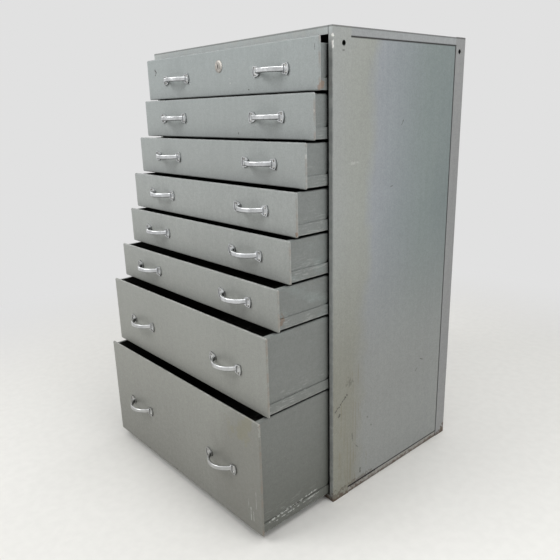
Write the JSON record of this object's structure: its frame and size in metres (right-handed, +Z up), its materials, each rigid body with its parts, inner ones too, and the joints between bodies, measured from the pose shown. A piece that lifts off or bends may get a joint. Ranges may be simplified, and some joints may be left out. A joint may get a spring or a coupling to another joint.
{
  "type": "parts organizer cabinet",
  "caption": "Free-standing grey enamelled steel drawer cabinet for small parts: full-width folded drawers on side runners, cast bow handles and a cam lock on the top drawer.",
  "frame": {"origin": "middle of the carcass's underside, on the floor", "axes": "+Z up, -Y out of the drawer fronts, +X to the right of someone who stands behind the fronts looking along +Y"},
  "size_m": [0.81, 0.866, 1.3],
  "materials": {
    "enamel": "worn satin grey enamel",
    "tray_enamel": "worn satin grey enamel, rubbed bare along the rails",
    "cast_aluminium": "tarnished casting, bright where it is held",
    "nickel": "aged satin nickel plate",
    "plated_steel": "dull zinc plate",
    "runner_steel": "bare oiled steel"
  },
  "bodies": {
    "carcass": {"left_side_panel": "enamel", "right_side_panel": "enamel", "top_panel": "enamel", "back_panel": "enamel", "base_tray": "enamel", "left_uprights": "runner_steel", "right_uprights": "runner_steel", "left_runners": "runner_steel", "right_runners": "runner_steel"},
    "drawer_1": {"drawer_1_front": "enamel", "drawer_1_tray": "tray_enamel", "drawer_1_left_handle": "cast_aluminium", "drawer_1_right_handle": "cast_aluminium", "drawer_1_handle_screws": "plated_steel", "lock_housing": "nickel", "lock_nut": "plated_steel"},
    "drawer_2": {"drawer_2_front": "enamel", "drawer_2_tray": "tray_enamel", "drawer_2_left_handle": "cast_aluminium", "drawer_2_right_handle": "cast_aluminium", "drawer_2_handle_screws": "plated_steel"},
    "drawer_3": {"drawer_3_front": "enamel", "drawer_3_tray": "tray_enamel", "drawer_3_left_handle": "cast_aluminium", "drawer_3_right_handle": "cast_aluminium", "drawer_3_handle_screws": "plated_steel"},
    "drawer_4": {"drawer_4_front": "enamel", "drawer_4_tray": "tray_enamel", "drawer_4_left_handle": "cast_aluminium", "drawer_4_right_handle": "cast_aluminium", "drawer_4_handle_screws": "plated_steel"},
    "drawer_5": {"drawer_5_front": "enamel", "drawer_5_tray": "tray_enamel", "drawer_5_left_handle": "cast_aluminium", "drawer_5_right_handle": "cast_aluminium", "drawer_5_handle_screws": "plated_steel"},
    "drawer_6": {"drawer_6_front": "enamel", "drawer_6_tray": "tray_enamel", "drawer_6_left_handle": "cast_aluminium", "drawer_6_right_handle": "cast_aluminium", "drawer_6_handle_screws": "plated_steel"},
    "drawer_7": {"drawer_7_front": "enamel", "drawer_7_tray": "tray_enamel", "drawer_7_left_handle": "cast_aluminium", "drawer_7_right_handle": "cast_aluminium", "drawer_7_handle_screws": "plated_steel"},
    "drawer_8": {"drawer_8_front": "enamel", "drawer_8_tray": "tray_enamel", "drawer_8_left_handle": "cast_aluminium", "drawer_8_right_handle": "cast_aluminium", "drawer_8_handle_screws": "plated_steel"},
    "lock_core": {"lock_plug": "nickel", "lock_cam": "plated_steel", "lock_cam_screw": "plated_steel"}
  },
  "joints": [
    {"name": "drawer_1_slide", "type": "slide", "parent": "carcass", "child": "drawer_1", "axis": [0, -1, 0], "range_m": [-0.029, 0.371]},
    {"name": "drawer_2_slide", "type": "slide", "parent": "carcass", "child": "drawer_2", "axis": [0, -1, 0], "range_m": [-0.048, 0.352]},
    {"name": "drawer_3_slide", "type": "slide", "parent": "carcass", "child": "drawer_3", "axis": [0, -1, 0], "range_m": [-0.078, 0.322]},
    {"name": "drawer_4_slide", "type": "slide", "parent": "carcass", "child": "drawer_4", "axis": [0, -1, 0], "range_m": [-0.111, 0.289]},
    {"name": "drawer_5_slide", "type": "slide", "parent": "carcass", "child": "drawer_5", "axis": [0, -1, 0], "range_m": [-0.137, 0.263]},
    {"name": "drawer_6_slide", "type": "slide", "parent": "carcass", "child": "drawer_6", "axis": [0, -1, 0], "range_m": [-0.179, 0.221]},
    {"name": "drawer_7_slide", "type": "slide", "parent": "carcass", "child": "drawer_7", "axis": [0, -1, 0], "range_m": [-0.221, 0.179]},
    {"name": "drawer_8_slide", "type": "slide", "parent": "carcass", "child": "drawer_8", "axis": [0, -1, 0], "range_m": [-0.254, 0.146]},
    {"name": "lock_turn", "type": "hinge", "parent": "drawer_1", "child": "lock_core", "pos_m": [0, -0.32, 1.233], "axis": [0, -1, 0], "range_deg": [0, 90]}
  ]
}
